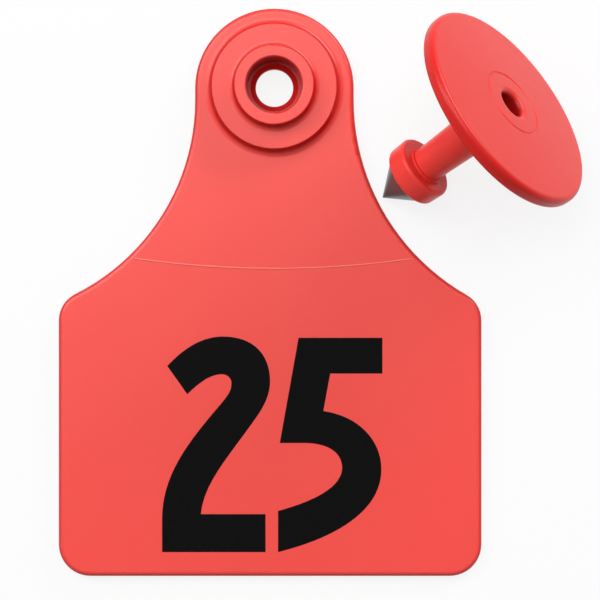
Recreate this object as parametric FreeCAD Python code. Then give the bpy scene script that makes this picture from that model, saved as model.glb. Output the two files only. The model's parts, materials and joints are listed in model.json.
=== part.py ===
"""Two-piece livestock ear tag: a printed panel with a snap socket, and the button stud that locks into it.

The tag panel lies flat on its ear face with the socket boss upwards.  The stud lies beside its neck as
it comes to rest by itself, on the rim of its disc and the nose of its head.  Lengths are millimetres and
angles degrees.  The origin is on the socket's axis in the plane of the ear face: +Z is up out of the
boss, +Y points to the top of the tag.
"""

import FreeCAD
import Part
import math
import os

# Tag panel, seen from above: a round lobe, a neck that flares out to square shoulders, and a foot.
panel_width = 57.0
panel_offset = 0.58         # socket axis to the panel's mid-line, which lies to its left
foot_drop = 65.8            # socket axis to the foot edge
lobe_radius = 10.7
neck_straight = 1.6         # parallel neck below the socket axis
shoulder_radius = 4.0
shoulder_drop = 31.35       # socket axis down to the centres of the shoulder rounds
foot_radius = 4.3
panel_thickness = 1.6
face_round = 0.7
back_round = 0.4

# Mould witness line: a fine bowed rib where the neck meets the panel.
witness_drop = 24.35        # socket axis down to the middle of the line
witness_bow = 131.0         # radius of the bow
witness_height = 0.09
witness_half_width = 0.14
witness_inset = 0.15        # gap from the rib's ends to the rounded rim

# Socket boss: a wide step, with a narrower collar on it.
boss_radius = 8.4
boss_height = 1.6
boss_cove = 1.0
collar_radius = 5.3
collar_height = 2.0
collar_cove = 0.8
crest_round = 0.15

# Stud: crowned disc, hollow stem with a parallel neck under the head, barbed head.
disc_radius = 14.5
disc_thickness = 1.95
disc_crown = 0.5
disc_face_round = 0.8
disc_back_round = 0.7
ring_groove_radius = 4.65
ring_groove_width = 0.36
ring_groove_depth = 0.14
stem_length = 13.0
stem_root_radius = 2.9
stem_root_cove = 0.6
neck_radius = 2.45
neck_length = 2.2
head_radius = 4.4
head_front_radius = 4.25
head_length = 2.95
head_heel_round = 0.5
head_nose_round = 0.45
heel_bead_radius = 2.8
heel_bead_height = 0.3

# Applicator bore, down the stem from the button face.
bore_radius = 1.8
bore_mouth_round = 0.8
bore_floor_web = 0.9        # from the bore's floor, where the tip's shank ends, to the head

# Steel tip: a cone on a ribbed shank that is moulded into the head.
tip_base_radius = 3.75
tip_land = 0.25
tip_length = 5.2
tip_point_radius = 0.12
shank_radius = 1.35
shank_rib_radius = 1.85
shank_rib_height = 0.6
shank_rib_gap = 0.7

# Snap socket.  The neck turns in its throat and the head is held under the lip of its mouth.
neck_clearance = 0.08
head_clearance = 0.1
throat_length = 1.5
throat_flare = 0.7          # bevel at the top of the throat, clear of the heel bead
mouth_radius = 3.75
mouth_round = 0.2

# Printed number: ink driven a little way into the face.
digit_height = 29.0
digit_pitch = 15.6
number_left = -15.1         # left edge of the first digit from the socket axis
number_margin = 3.3         # foot edge to the baseline
ink_depth = 0.2

# Where the stud lies, seen from above: its point is one gap off the flared edge, at a bearing below
# level round the flare's centre, and its axis heads this way from +X.
tip_gap = 0.77
tip_bearing = 26.5
stud_heading = 215.3

# Derived levels and places.
panel_top = panel_thickness
boss_top = panel_top + boss_height
collar_top = boss_top + collar_height
throat_radius = neck_radius + neck_clearance
seat_radius = head_radius + head_clearance
heel_level = disc_thickness + stem_length
nose_level = heel_level + head_length
bore_floor = heel_level - bore_floor_web
head_slope = (head_radius - head_front_radius) / head_length
left_half = panel_width / 2 + panel_offset
right_half = panel_width / 2 - panel_offset

# Digit outlines in hundredths of the digit height, from the baseline's left end.  Two numbers are the end
# of a straight stroke; six are the two handles and the end of a curved one.
DIGIT_TWO = [
    (0, 0), (0, 15),
    (0, 31.5, 7.3, 44.3, 19.2, 59.1), (27.3, 69.3, 32.2, 73, 32.2, 78.1),
    (32.2, 80.6, 30.4, 82.5, 27.7, 82.5), (22.2, 82.5, 16.8, 78.3, 11.7, 73.2),
    (2.4, 86.3),
    (9.4, 94, 18.2, 100, 28.1, 100), (41.8, 100, 50.1, 92.2, 50.1, 79.2),
    (50.1, 70.5, 44.6, 63.7, 39.3, 56.4), (29.3, 42.6, 19.2, 31, 18, 17.6),
    (48, 17.6), (48, 0), (0, 0),
]
DIGIT_FIVE = [
    (0.8, 50.6), (9.5, 99.4), (48.4, 99.4), (48.4, 82.8), (24.2, 82.8), (21, 65.4),
    (36, 63.4, 47.9, 53, 47.9, 38.3), (47.9, 19, 26.5, 6.6, 0, 0),
    (0, 19.1),
    (14.5, 23, 29.7, 29.5, 29.7, 39.1), (29.7, 46.5, 22.5, 50.6, 12.5, 50.6), (0.8, 50.6),
]


def point(x, y, z=0.0):
    return FreeCAD.Vector(x, y, z)


Z_AXIS = point(0, 0, 1)
ORIGIN = point(0, 0)


def line(start, end):
    return Part.makeLine(start, end)


def arc(centre, radius, from_deg, to_deg):
    """Arc in the XY plane about centre, from one angle to another."""
    angles = [math.radians(a) for a in (from_deg, (from_deg + to_deg) / 2, to_deg)]
    return Part.Arc(*[centre + point(radius * math.cos(a), radius * math.sin(a)) for a in angles]).toShape()


def solid_of_turn(corners):
    """Revolves a closed outline of (radius, level) corners about the Z axis."""
    outline = Part.makePolygon([point(r, 0, z) for r, z in corners + corners[:1]])
    return Part.Face(outline).revolve(ORIGIN, Z_AXIS, 360)


def round_rings(solid, radius, level, amount):
    """Rounds the solid's circular edges that lie at one radius and level."""
    same = 1e-4

    def on_ring(spot):
        return abs(math.hypot(spot.x, spot.y) - radius) < same and abs(spot.z - level) < same

    rings = [
        edge for edge in solid.Edges
        if not edge.Degenerated and all(on_ring(spot) for spot in edge.discretize(5))
    ]
    return solid.makeFillet(amount, rings)


def flare(half_width):
    """Centre and radius of the arc that runs from the neck's side into the shoulder's round."""
    across = half_width - shoulder_radius - lobe_radius
    down = shoulder_drop - neck_straight
    radius = (across ** 2 + down ** 2 - shoulder_radius ** 2) / (2 * (shoulder_radius + across))
    return point(lobe_radius + radius, -neck_straight), radius


def outline_side(half_width):
    """Right-hand side of the outline, from the top of the lobe to the foot below the socket's axis."""
    flare_centre, flare_radius = flare(half_width)
    shoulder_centre = point(half_width - shoulder_radius, -shoulder_drop)
    away = flare_centre - shoulder_centre
    join = math.degrees(math.atan2(away.y, away.x))
    foot_centre = point(half_width - foot_radius, -foot_drop + foot_radius)
    return [
        arc(ORIGIN, lobe_radius, 90, 0),
        line(point(lobe_radius, 0), point(lobe_radius, -neck_straight)),
        arc(flare_centre, flare_radius, 180, 180 + join),
        arc(shoulder_centre, shoulder_radius, join, 0),
        line(point(half_width, -shoulder_drop), point(half_width, foot_centre.y)),
        arc(foot_centre, foot_radius, 0, -90),
        line(point(foot_centre.x, -foot_drop), point(0, -foot_drop)),
    ]


def panel_outline():
    """Closed outline of the tag: its two sides, the left one mirrored."""
    left = [edge.mirror(ORIGIN, point(1, 0)) for edge in outline_side(left_half)]
    return Part.Wire(Part.__sortEdges__(outline_side(right_half) + left))


def panel_plate():
    """Flat blade with its face and back edges rounded all the way round."""
    plate = Part.Face(panel_outline()).extrude(Z_AXIS * panel_thickness)
    rims = {panel_top: face_round, 0.0: back_round}
    for level, amount in rims.items():
        rim = [e for e in plate.Edges if all(abs(v.Z - level) < 1e-6 for v in e.Vertexes)]
        plate = plate.makeFillet(amount, rim)
    return plate


def witness_line():
    """Fine rib bowed down across the neck, from rim to rim, with a lens-shaped section."""
    section = Part.Face(Part.makePolygon([
        point(0, -witness_drop - witness_half_width, panel_top - witness_height),
        point(0, -witness_drop - witness_half_width, panel_top),
        point(0, -witness_drop, panel_top + witness_height),
        point(0, -witness_drop + witness_half_width, panel_top),
        point(0, -witness_drop + witness_half_width, panel_top - witness_height),
        point(0, -witness_drop - witness_half_width, panel_top - witness_height),
    ]))
    bow_centre = point(0, witness_bow - witness_drop)

    def sweep_to_rim(half_width):
        """Angle swept from the mid-line to a circle that stops short of the rounded rim."""
        flare_centre, flare_radius = flare(half_width)
        stop_radius = flare_radius + face_round + witness_inset
        gap = flare_centre - bow_centre
        cosine = (witness_bow ** 2 + gap.Length ** 2 - stop_radius ** 2) / (2 * witness_bow * gap.Length)
        return 90 + math.degrees(math.atan2(gap.y, gap.x) - math.acos(cosine))

    left_sweep, right_sweep = sweep_to_rim(left_half), sweep_to_rim(right_half)
    section.rotate(bow_centre, Z_AXIS, -left_sweep)
    return section.revolve(bow_centre, Z_AXIS, left_sweep + right_sweep)


def snap_socket():
    """Hollow of the socket: throat, bevel for the heel bead, wide seat, and a mouth with a bevelled lip.

    The lip's underside slopes at 45 degrees, one clearance off the rounding of the seated head's nose.
    """
    nose_corner = head_front_radius - head_nose_round
    reach = (head_nose_round + head_clearance) * math.sqrt(2)
    slope_level = throat_length + head_length - head_nose_round + nose_corner + reach
    over = 1.0
    return solid_of_turn([
        (0, -over),
        (throat_radius, -over),
        (throat_radius, throat_length - throat_flare),
        (throat_radius + throat_flare, throat_length),
        (seat_radius, throat_length),
        (seat_radius, slope_level - seat_radius),
        (mouth_radius, slope_level - mouth_radius),
        (mouth_radius, collar_top + over),
        (0, collar_top + over),
    ])


def tag_body():
    """Panel, neck and socket boss, moulded as one piece."""
    boss = Part.makeCylinder(boss_radius, boss_top)
    collar = Part.makeCylinder(collar_radius, collar_top)
    body = panel_plate().fuse([boss, collar]).removeSplitter()
    body = round_rings(body, boss_radius, panel_top, boss_cove)
    body = round_rings(body, collar_radius, boss_top, collar_cove)
    body = round_rings(body, boss_radius, boss_top, crest_round)
    body = round_rings(body, collar_radius, collar_top, crest_round)
    body = body.cut(snap_socket())
    body = round_rings(body, mouth_radius, collar_top, mouth_round)
    return body.fuse(witness_line())


def digit(strokes, left):
    """One digit as a solid whose top is flush with the panel's face."""
    unit = digit_height / 100
    base = -foot_drop + number_margin
    edges = []

    def place(x, y):
        return point(left + x * unit, base + y * unit, panel_top - ink_depth)

    here = place(*strokes[0])
    for stroke in strokes[1:]:
        poles = [here] + [place(*stroke[i:i + 2]) for i in range(0, len(stroke), 2)]
        curve = Part.BezierCurve()
        curve.setPoles(poles)
        edges.append(curve.toShape() if len(poles) > 2 else line(*poles))
        here = poles[-1]
    return Part.Face(Part.Wire(edges)).extrude(Z_AXIS * ink_depth)


def steel_tip():
    """Cone with a short land at its base, on a shank with two holding ribs."""
    point_level = nose_level + tip_length
    rib_levels = [nose_level - tip_land - shank_rib_gap - shank_rib_height]
    rib_levels.append(rib_levels[0] - shank_rib_gap - shank_rib_height)
    cone = solid_of_turn([
        (0, nose_level - tip_land),
        (tip_base_radius, nose_level - tip_land),
        (tip_base_radius, nose_level),
        (0, point_level),
    ])
    shank = Part.makeCylinder(shank_radius, nose_level - bore_floor, point(0, 0, bore_floor))
    ribs = [Part.makeCylinder(shank_rib_radius, shank_rib_height, point(0, 0, z)) for z in rib_levels]
    tip = cone.fuse([shank] + ribs).removeSplitter()
    # A ball that touches the cone's flank blunts the point.
    half_angle = math.atan2(tip_base_radius, tip_length)
    ball_level = point_level - tip_point_radius / math.sin(half_angle)
    cut_level = ball_level + tip_point_radius * math.sin(half_angle)
    above = Part.makeCylinder(tip_base_radius, tip_length, point(0, 0, cut_level))
    ball = Part.makeSphere(tip_point_radius, point(0, 0, ball_level))
    return tip.cut(above).fuse(ball).removeSplitter()


def crown_level(radius):
    """Level of the crowned button face at a radius; the disc's rim plane is level zero."""
    sphere = (disc_radius ** 2 + disc_crown ** 2) / (2 * disc_crown)
    return sphere - disc_crown - math.sqrt(sphere ** 2 - radius ** 2)


def stud_body():
    """Disc, stem and head, turned about the stud's own axis with the head upwards."""
    crown = Part.Arc(
        point(0, 0, -disc_crown),
        point(disc_radius / 2, 0, crown_level(disc_radius / 2)),
        point(disc_radius, 0, 0),
    ).toShape()
    side = Part.makePolygon([
        point(disc_radius, 0, 0),
        point(disc_radius, 0, disc_thickness),
        point(stem_root_radius, 0, disc_thickness),
        point(neck_radius, 0, heel_level - neck_length),
        point(neck_radius, 0, heel_level - heel_bead_height),
        point(heel_bead_radius, 0, heel_level - heel_bead_height),
        point(heel_bead_radius, 0, heel_level),
        point(head_radius, 0, heel_level),
        point(head_front_radius, 0, nose_level),
        point(0, 0, nose_level),
        point(0, 0, -disc_crown),
    ])
    stud = Part.Face(Part.Wire([crown] + side.Edges)).revolve(ORIGIN, Z_AXIS, 360)
    stud = round_rings(stud, disc_radius, 0, disc_face_round)
    stud = round_rings(stud, disc_radius, disc_thickness, disc_back_round)
    stud = round_rings(stud, stem_root_radius, disc_thickness, stem_root_cove)
    stud = round_rings(stud, head_radius, heel_level, head_heel_round)
    stud = round_rings(stud, head_front_radius, nose_level, head_nose_round)
    return stud


def ring_groove():
    """Shallow groove round the bore on the button face, a slice of a ring's round section."""
    section = (ring_groove_width ** 2 / 4 + ring_groove_depth ** 2) / (2 * ring_groove_depth)
    level = crown_level(ring_groove_radius) + ring_groove_depth - section
    return Part.makeTorus(ring_groove_radius, section, point(0, 0, level))


def button_stud(tip):
    """Stud with its applicator bore and ring groove, moulded round the shank of the tip."""
    over = 1.0
    start = -disc_crown - over
    bore = Part.makeCylinder(bore_radius, bore_floor - start, point(0, 0, start))
    stud = stud_body().cut(bore)
    stud = round_rings(stud, bore_radius, crown_level(bore_radius), bore_mouth_round)
    return stud.cut([ring_groove(), tip])


def lying_pose():
    """Tilt of the stud's axis and height of its rim plane when disc and head both touch the ground.

    Each contact is a rounded corner with its centre at (radius, level); the stud tips until the first
    corner of the head, or the point, meets the ground that the disc's back corner rests on.
    """
    disc = (disc_radius - disc_back_round, disc_thickness - disc_back_round, disc_back_round)
    nose_centre = nose_level - head_nose_round
    side = head_radius - (nose_centre - heel_level) * head_slope
    nose = (side - head_nose_round * math.hypot(1, head_slope), nose_centre, head_nose_round)
    heel = (head_radius - head_heel_round, heel_level + head_heel_round, head_heel_round)
    cone_base = (tip_base_radius, nose_level, 0)
    sharp_point = (0, nose_level + tip_length, 0)
    tilts = []
    for radius, level, rounding in (nose, heel, cone_base, sharp_point):
        run = level - disc[1]
        rise = disc[0] - radius
        extra = (disc[2] - rounding) / math.hypot(run, rise)
        tilts.append(math.atan2(rise, run) + math.asin(extra))
    tilt = min(tilts)
    height = disc[1] * math.sin(tilt) + disc[0] * math.cos(tilt) + disc[2]
    return math.degrees(tilt), height


def laid_down(shape):
    """Moves a piece from the stud's own axis to where the stud lies beside the neck."""
    tilt, height = lying_pose()
    bearing, heading = math.radians(tip_bearing), math.radians(stud_heading)
    flare_centre, flare_radius = flare(right_half)
    tip = flare_centre - point(math.cos(bearing), math.sin(bearing)) * (flare_radius - tip_gap)
    reach = (nose_level + tip_length) * math.cos(math.radians(tilt))
    disc = tip - point(math.cos(heading), math.sin(heading)) * reach
    to_floor = FreeCAD.Rotation(point(0, 1), 90 + tilt)
    to_heading = FreeCAD.Rotation(Z_AXIS, stud_heading)
    placed = shape.copy()
    placed.Placement = FreeCAD.Placement(disc + Z_AXIS * height, to_heading.multiply(to_floor))
    return placed


def build():
    digits = {
        "digit_two": digit(DIGIT_TWO, number_left),
        "digit_five": digit(DIGIT_FIVE, number_left + digit_pitch),
    }
    tip = steel_tip()
    nodes = {
        "tag_panel": tag_body().cut(list(digits.values())),
        "button_stud": laid_down(button_stud(tip)),
        "steel_tip": laid_down(tip),
    }
    nodes.update(digits)
    return nodes


os.makedirs("parts", exist_ok=True)
for name, shape in build().items():
    if not shape.isValid() or len(shape.Solids) != 1:
        raise ValueError(f"{name} is not one valid solid")
    shape.Solids[0].exportStep(f"parts/{name}.step")
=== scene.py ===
"""Looks of the two-piece ear tag: coral polyurethane, black marking ink and a turned steel point.

The CAD nodes carry every form.  This script gives them their materials and sets up the floor, the
studio light and a camera that looks straight down on the tag and its stud.  Lengths are metres.
"""

import json

import bpy
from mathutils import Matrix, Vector


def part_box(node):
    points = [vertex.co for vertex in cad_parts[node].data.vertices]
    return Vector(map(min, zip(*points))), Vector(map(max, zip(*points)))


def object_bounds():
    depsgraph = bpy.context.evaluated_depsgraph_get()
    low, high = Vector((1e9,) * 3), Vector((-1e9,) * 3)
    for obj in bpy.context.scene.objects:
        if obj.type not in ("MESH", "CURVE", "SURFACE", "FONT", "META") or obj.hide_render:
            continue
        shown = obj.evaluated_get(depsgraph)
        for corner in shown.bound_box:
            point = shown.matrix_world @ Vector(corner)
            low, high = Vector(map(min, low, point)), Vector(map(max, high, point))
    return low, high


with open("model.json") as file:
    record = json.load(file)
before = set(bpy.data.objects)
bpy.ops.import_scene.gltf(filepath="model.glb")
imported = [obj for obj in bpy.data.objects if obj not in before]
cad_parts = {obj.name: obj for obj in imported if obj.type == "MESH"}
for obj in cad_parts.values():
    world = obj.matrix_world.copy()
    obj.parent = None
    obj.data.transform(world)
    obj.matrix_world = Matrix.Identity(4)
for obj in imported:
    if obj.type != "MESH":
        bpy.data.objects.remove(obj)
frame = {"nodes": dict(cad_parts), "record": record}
cad_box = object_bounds()

MM = 0.001
NODES = frame["nodes"]
MOUNTS = {mount["name"]: mount for mount in frame["record"]["mounts"]}

# The picture's frame, set off from the panel's own box.
PANEL_LOW, PANEL_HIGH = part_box("tag_panel")
FACE_LEVEL = 1.6 * MM
FRAME_WIDTH = 80.70 * MM
LEFT_MARGIN = 7.82 * MM
TOP_MARGIN = 1.06 * MM
CAMERA_HEIGHT = 253.7 * MM          # above the panel's face
SENSOR_WIDTH = 36.0

# Colours, linear.
PANEL_FACE = (0.880, 0.070, 0.057)
# Painted shade: darker, deeper red for the panel's walls, rounded rims and coves.
PANEL_WALL_SHADE = (0.580, 0.004, 0.004)
# Painted shade inside the socket.
SOCKET_SHADE = (0.520, 0.002, 0.002)
# Painted highlight along the witness rib.
RIB_HIGHLIGHT = (1.000, 0.220, 0.190)
# Painted light and shade on the stud: a darker disc face, where the lamps fall full on it, and a lighter stem
# and head.
STUD_FACE_SHADED = (0.690, 0.034, 0.027)
STUD_WALL_LIT = (0.860, 0.052, 0.042)
# Painted shade on the stud disc's rim.
RIM_SHADE = (0.600, 0.010, 0.008)
# Painted shade down the applicator bore.
BORE_SHADE = (0.330, 0.003, 0.002)
INK = (0.0032, 0.0032, 0.0035)
STEEL = (0.150, 0.175, 0.185)
PIGMENT = (0.980, 0.160, 0.130)
INK_DRY = (0.0055, 0.0055, 0.0058)
STEEL_DARK = (0.080, 0.092, 0.100)
PAPER_LOW = (0.83, 0.83, 0.83)
PAPER_HIGH = (0.87, 0.87, 0.87)
WHITE = (1.0, 1.0, 1.0)
FLOOR_GLOW = 0.85                   # share of the floor's white that doesn't depend on the lamps

# Where the tones change, as distances from the socket's or the stud's axis.
SOCKET_EDGE = (3.66 * MM, 3.86 * MM)
BORE_EDGE = (1.72 * MM, 2.25 * MM)
DISC_EDGE = (13.7 * MM, 14.3 * MM)
RIB_NEAR = 20.0 * MM                # the witness rib is the only raised form beyond this
RIB_RISE = (0.004 * MM, 0.045 * MM)
RIB_TOP = 0.11 * MM
RIM_SHADE_SHARE = 0.85
SQUARE_TO_AXIS = (0.66, 0.995)      # cosines between which a wall turns into a face

# Roughness and specular level of each half.
PANEL_POLISH, PANEL_GLOSS = 0.34, 0.45
STUD_POLISH, STUD_GLOSS = 0.33, 0.26

UP = Vector((0, 0, 1))
RING_RATE = 42000.0                 # radians per metre: a turning mark every 0.15 mm
FLOOR_HALF = 1.2
FLOOR_GAP = 0.02 * MM
WORLD_STRENGTH = 0.24
LAMPS = (
    # name, direction from the part, distance, width, height, watts
    ("overhead", (-0.15, 0.45, 1.0), 0.9, 0.7, 0.6, 4.9),
    ("left", (-0.70, 0.45, 0.60), 0.7, 0.4, 0.3, 2.0),
    ("right", (0.60, 0.74, 0.32), 0.7, 0.45, 0.12, 2.7),
)


class Nodes:
    """Short-hand for building one material's node tree."""

    def __init__(self, name):
        self.material = bpy.data.materials.new(name)
        self.material.use_nodes = True
        self.tree = self.material.node_tree
        self.tree.nodes.clear()
        self.output = self.add("ShaderNodeOutputMaterial")

    def add(self, kind, inputs=None, **settings):
        node = self.tree.nodes.new(kind)
        for key, value in settings.items():
            setattr(node, key, value)
        for key, value in (inputs or {}).items():
            if isinstance(value, bpy.types.NodeSocket):
                self.tree.links.new(value, node.inputs[key])
            else:
                node.inputs[key].default_value = value
        return node

    def math(self, operation, *values, clamp=False):
        node = self.add("ShaderNodeMath", operation=operation, use_clamp=clamp)
        for socket, value in zip(node.inputs, values):
            if isinstance(value, bpy.types.NodeSocket):
                self.tree.links.new(value, socket)
            else:
                socket.default_value = value
        return node.outputs[0]

    def ramp(self, value, low, high):
        """Smooth step from 0 at low to 1 at high."""
        node = self.add(
            "ShaderNodeMapRange",
            {"Value": value, "From Min": low, "From Max": high},
            interpolation_type="SMOOTHSTEP",
        )
        return node.outputs["Result"]

    def noise(self, scale, detail=2.0, roughness=0.5):
        place = self.add("ShaderNodeTexCoord").outputs["Object"]
        node = self.add(
            "ShaderNodeTexNoise",
            {"Vector": place, "Scale": scale, "Detail": detail, "Roughness": roughness},
        )
        return node.outputs["Fac"]

    def about(self, centre, axis):
        """Distance from an axis, and distance along it from its centre."""
        place = self.add("ShaderNodeNewGeometry").outputs["Position"]
        arm = self.add("ShaderNodeVectorMath", {0: place, 1: centre}, operation="SUBTRACT").outputs[0]
        across = self.add("ShaderNodeVectorMath", {0: arm, 1: axis}, operation="CROSS_PRODUCT").outputs[0]
        radius = self.add("ShaderNodeVectorMath", {0: across}, operation="LENGTH").outputs["Value"]
        level = self.add("ShaderNodeVectorMath", {0: arm, 1: axis}, operation="DOT_PRODUCT").outputs["Value"]
        return radius, level

    def mix(self, factor, first, second):
        node = self.add("ShaderNodeMix", data_type="RGBA", blend_type="MIX")
        for index, value in ((0, factor), (6, first), (7, second)):
            if isinstance(value, bpy.types.NodeSocket):
                self.tree.links.new(value, node.inputs[index])
            else:
                node.inputs[index].default_value = value
        return node.outputs[2]

    def finish(self, shader):
        self.tree.links.new(shader, self.output.inputs["Surface"])
        return self.material


def rgba(colour):
    return (*colour, 1.0)


def socket_shade_and_rib_highlight(n, base):
    """Painted shade: deeper red inside the socket; painted highlight: a paler line along the witness rib."""
    radius, level = n.about(Vector(), UP)
    # Painted shade inside the socket, towards its axis.
    inside = n.math("SUBTRACT", 1.0, n.ramp(radius, *SOCKET_EDGE))
    base = n.mix(inside, base, rgba(SOCKET_SHADE))
    # Painted highlight along the top of the witness rib.
    raised = n.ramp(level, FACE_LEVEL + RIB_RISE[0], FACE_LEVEL + RIB_RISE[1])
    low = n.math("LESS_THAN", level, FACE_LEVEL + RIB_TOP)
    clear = n.math("GREATER_THAN", radius, RIB_NEAR)
    rib = n.math("MULTIPLY", raised, n.math("MULTIPLY", low, clear))
    return n.mix(rib, base, rgba(RIB_HIGHLIGHT))


def bore_and_rim_shade(n, base):
    """Painted shade: deeper red down the applicator bore and on the disc's rim."""
    bore = MOUNTS["applicator_bore"]
    radius, _ = n.about(Vector(bore["pos_m"]), Vector(bore["axis"]))
    # Painted shade down the applicator bore.
    inside = n.math("SUBTRACT", 1.0, n.ramp(radius, *BORE_EDGE))
    base = n.mix(inside, base, rgba(BORE_SHADE))
    # Painted shade on the disc's rim.
    rim = n.math("MULTIPLY", n.ramp(radius, *DISC_EDGE), RIM_SHADE_SHARE)
    return n.mix(rim, base, rgba(RIM_SHADE))


def plastic(name, face, wall, axis, roughness, gloss, tones):
    """Moulded polyurethane with painted light and shade: one colour on faces square to its axis, another on
    the walls along it.
    """
    n = Nodes(name)
    normal = n.add("ShaderNodeNewGeometry").outputs["Normal"]
    # Painted light and shade: the wall colour on surfaces along the axis, the face colour on those square to
    # it.
    along = n.add("ShaderNodeVectorMath", {0: normal, 1: axis}, operation="DOT_PRODUCT").outputs["Value"]
    squareness = n.math("ABSOLUTE", along)
    faced = n.ramp(squareness, *SQUARE_TO_AXIS)
    base = n.mix(faced, rgba(wall), rgba(face))
    # Pigment drifts a little through the shot of plastic.
    drift = n.ramp(n.noise(70.0, 3.0), 0.3, 0.7)
    base = n.mix(n.math("MULTIPLY", drift, 0.035), base, rgba(PIGMENT))
    base = tones(n, base)
    # Spark-eroded mould grain and a faint flow ripple.
    grain = n.noise(9000.0, 3.0, 0.6)
    ripple = n.noise(350.0, 1.0)
    relief = n.math("ADD", n.math("MULTIPLY", grain, 0.25), ripple)
    bump = n.add("ShaderNodeBump", {"Height": relief, "Strength": 0.05, "Distance": 0.02 * MM})
    polish = n.math("MULTIPLY_ADD", n.noise(900.0, 2.0), 0.10, roughness - 0.05)
    shader = n.add(
        "ShaderNodeBsdfPrincipled",
        {
            "Base Color": base,
            "Roughness": polish,
            "IOR": 1.50,
            "Normal": bump.outputs["Normal"],
            "Specular IOR Level": gloss,
            "Subsurface Weight": 0.10,
            "Subsurface Radius": (1.0, 0.15, 0.10),
            "Subsurface Scale": 0.6 * MM,
        },
    )
    return n.finish(shader.outputs["BSDF"])


def marking_ink():
    """Dense black ink with a dry, slightly mottled surface."""
    n = Nodes("marking_ink")
    mottle = n.ramp(n.noise(1400.0, 4.0, 0.6), 0.35, 0.75)
    base = n.mix(n.math("MULTIPLY", mottle, 0.5), rgba(INK), rgba(INK_DRY))
    bump = n.add("ShaderNodeBump", {"Height": n.noise(6000.0, 3.0), "Strength": 0.1, "Distance": 0.01 * MM})
    polish = n.math("MULTIPLY_ADD", mottle, 0.1, 0.55)
    shader = n.add(
        "ShaderNodeBsdfPrincipled",
        {
            "Base Color": base,
            "Roughness": polish,
            "Specular IOR Level": 0.05,
            "Normal": bump.outputs["Normal"],
        },
    )
    return n.finish(shader.outputs["BSDF"])


def turned_steel(centre, axis):
    """Turned steel: fine rings round the point's axis, with slight drag marks."""
    n = Nodes("turned_steel")
    place = n.add("ShaderNodeTexCoord").outputs["Object"]
    from_centre = n.add("ShaderNodeVectorMath", {0: place, 1: centre}, operation="SUBTRACT").outputs[0]
    level = n.add("ShaderNodeVectorMath", {0: from_centre, 1: axis}, operation="DOT_PRODUCT").outputs["Value"]
    rings = n.math("SINE", n.math("MULTIPLY", level, RING_RATE))
    drag = n.noise(2500.0, 3.0, 0.6)
    relief = n.math("ADD", n.math("MULTIPLY", rings, 0.4), drag)
    bump = n.add("ShaderNodeBump", {"Height": relief, "Strength": 0.15, "Distance": 0.01 * MM})
    tone = n.mix(n.math("MULTIPLY", drag, 0.35), rgba(STEEL), rgba(STEEL_DARK))
    polish = n.math("MULTIPLY_ADD", drag, 0.12, 0.24)
    shader = n.add(
        "ShaderNodeBsdfPrincipled",
        {"Base Color": tone, "Metallic": 0.5, "Roughness": polish, "Normal": bump.outputs["Normal"]},
    )
    return n.finish(shader.outputs["BSDF"])


def floor_material():
    """White paper floor.  The camera and reflections see it nearly white, with the shadow still on it."""
    n = Nodes("floor_white")
    fibre = n.ramp(n.noise(500.0, 3.0), 0.3, 0.7)
    tone = n.mix(n.math("MULTIPLY", fibre, 0.02), rgba(PAPER_LOW), rgba(PAPER_HIGH))
    lit = n.add("ShaderNodeBsdfDiffuse", {"Color": tone})
    glow = n.add("ShaderNodeEmission", {"Color": rgba(WHITE), "Strength": 1.0})
    path = n.add("ShaderNodeLightPath").outputs
    seen = n.math("ADD", path["Is Camera Ray"], path["Is Glossy Ray"], clamp=True)
    seen = n.math("ADD", seen, path["Is Transmission Ray"], clamp=True)
    share = n.math("MULTIPLY", seen, FLOOR_GLOW)
    shader = n.add("ShaderNodeMixShader", {0: share, 1: lit.outputs[0], 2: glow.outputs[0]})
    return n.finish(shader.outputs[0])


def paint(node, material):
    """Gives a CAD node its one material."""
    mesh = NODES[node].data
    mesh.materials.clear()
    mesh.materials.append(material)


def dress():
    """Puts the materials on the five CAD nodes."""
    bore = MOUNTS["applicator_bore"]
    head = MOUNTS["snap_head"]
    stud_axis = Vector(bore["axis"])
    panel_finish = plastic(
        "panel_polyurethane", PANEL_FACE, PANEL_WALL_SHADE, UP, PANEL_POLISH, PANEL_GLOSS, socket_shade_and_rib_highlight
    )
    stud_finish = plastic(
        "stud_polyurethane", STUD_FACE_SHADED, STUD_WALL_LIT, stud_axis, STUD_POLISH, STUD_GLOSS, bore_and_rim_shade
    )
    paint("tag_panel", panel_finish)
    paint("button_stud", stud_finish)
    paint("steel_tip", turned_steel(Vector(head["pos_m"]), stud_axis))
    ink = marking_ink()
    paint("digit_two", ink)
    paint("digit_five", ink)


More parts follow.
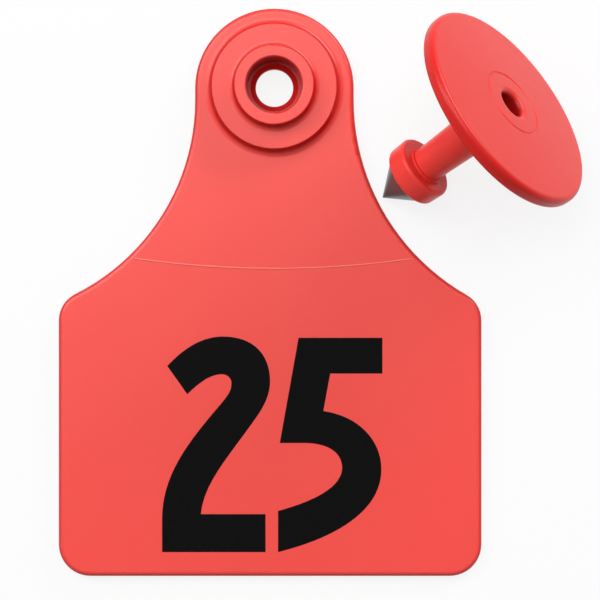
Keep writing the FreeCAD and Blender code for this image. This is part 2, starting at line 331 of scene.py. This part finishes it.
def lay_floor():
    """Flat floor just under the part."""
    corners = [(x * FLOOR_HALF, y * FLOOR_HALF, 0) for x, y in ((-1, -1), (1, -1), (1, 1), (-1, 1))]
    mesh = bpy.data.meshes.new("floor")
    mesh.from_pydata(corners, [], [(0, 1, 2, 3)])
    mesh.materials.append(floor_material())
    floor = bpy.data.objects.new("floor", mesh)
    floor.location.z = -FLOOR_GAP
    bpy.context.scene.collection.objects.link(floor)


def softbox(name, aim, direction, distance, width, height, power):
    """Rectangular lamp at a distance along a direction from its aim, facing back at it."""
    lamp = bpy.data.lights.new(name, "AREA")
    lamp.shape = "RECTANGLE"
    lamp.size, lamp.size_y = width, height
    lamp.energy = power
    item = bpy.data.objects.new(name, lamp)
    away = Vector(direction).normalized()
    item.location = aim + away * distance
    item.rotation_euler = away.to_track_quat("Z", "Y").to_euler()
    bpy.context.scene.collection.objects.link(item)


def light_studio(aim):
    """Dim white world, a broad lamp overhead, one from the left and a low narrow one from the right."""
    world = bpy.data.worlds.new("studio")
    world.use_nodes = True
    background = world.node_tree.nodes["Background"]
    background.inputs["Color"].default_value = rgba(WHITE)
    background.inputs["Strength"].default_value = WORLD_STRENGTH
    bpy.context.scene.world = world
    for name, direction, distance, width, height, power in LAMPS:
        softbox(name, aim, direction, distance, width, height, power)


def place_camera():
    """Straight above the middle of the picture, which is set off from the panel's left and top edges."""
    camera = bpy.data.cameras.new("camera")
    camera.sensor_width = SENSOR_WIDTH
    camera.lens = SENSOR_WIDTH * CAMERA_HEIGHT / FRAME_WIDTH
    camera.clip_start = 10 * MM
    camera.clip_end = 10.0
    item = bpy.data.objects.new("camera", camera)
    item.location = (
        PANEL_LOW.x - LEFT_MARGIN + FRAME_WIDTH / 2,
        PANEL_HIGH.y + TOP_MARGIN - FRAME_WIDTH / 2,
        FACE_LEVEL + CAMERA_HEIGHT,
    )
    bpy.context.scene.collection.objects.link(item)
    bpy.context.scene.camera = item


dress()
lay_floor()
light_studio((cad_box[0] + cad_box[1]) / 2)
place_camera()
bpy.context.scene.view_settings.view_transform = "Standard"
